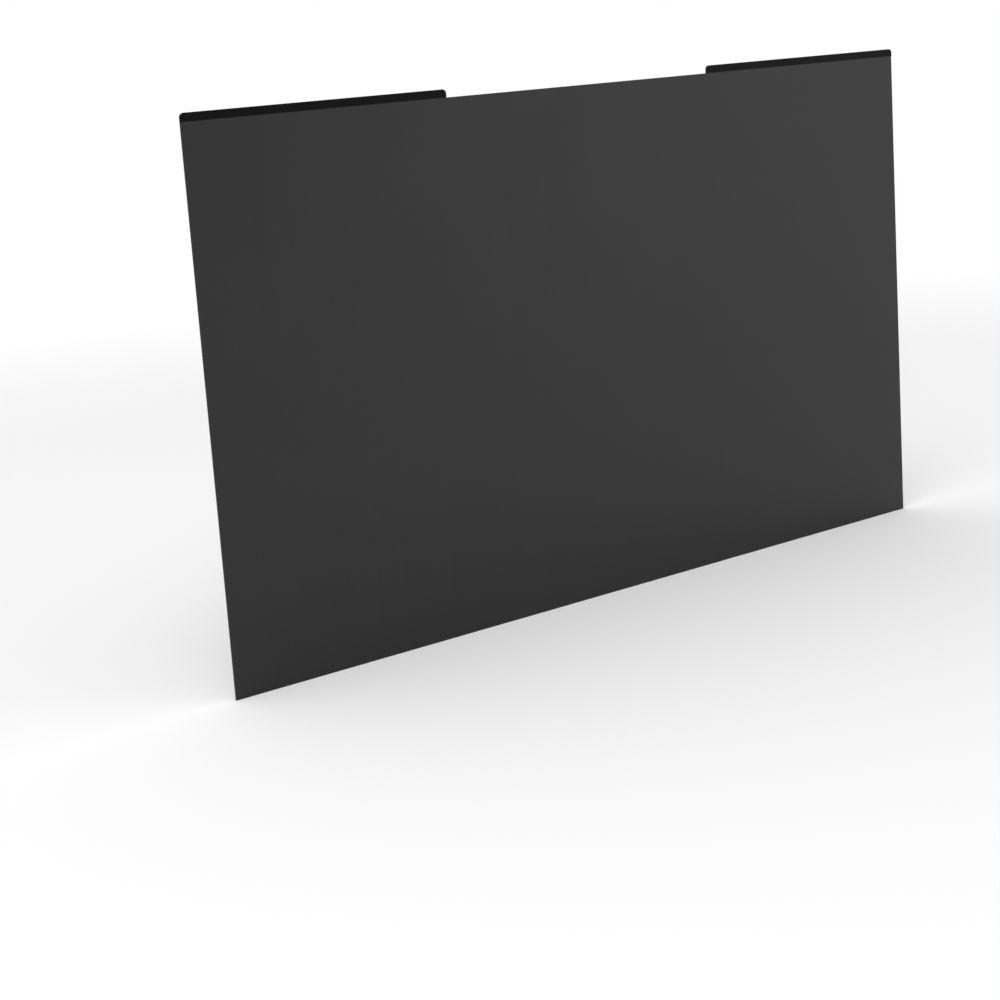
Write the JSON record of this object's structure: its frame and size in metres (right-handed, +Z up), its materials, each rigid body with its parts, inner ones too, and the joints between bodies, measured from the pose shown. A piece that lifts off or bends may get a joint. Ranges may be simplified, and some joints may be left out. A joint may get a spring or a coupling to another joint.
{
  "type": "monitor privacy filter",
  "caption": "Thin dark louvred film for a widescreen monitor, with a raised ear at each end of its top edge that carries a black cover strip and a flexible magnet to hang it on the bezel.",
  "frame": {"origin": "middle of the mounting line: midway between the two magnetic strips, at half their height, on the plane of the magnets' back faces", "axes": "+Z up, +X along the screen's width to the viewer's right, +Y towards the screen, so the front faces -Y"},
  "size_m": [0.531, 0.002, 0.3035],
  "materials": {
    "louvre_film": "anti-glare satin, almost opaque from the side",
    "cover_strip": "satin black",
    "adhesive_tape": "dark tacky film",
    "flexible_magnet": "dull ferrite rubber"
  },
  "bodies": {
    "root": {"privacy_sheet": "louvre_film", "left_cover_strip": "cover_strip", "right_cover_strip": "cover_strip", "left_cover_tape": "adhesive_tape", "right_cover_tape": "adhesive_tape", "left_magnet_strip": "flexible_magnet", "right_magnet_strip": "flexible_magnet", "left_magnet_tape": "adhesive_tape", "right_magnet_tape": "adhesive_tape"}
  },
  "joints": []
}
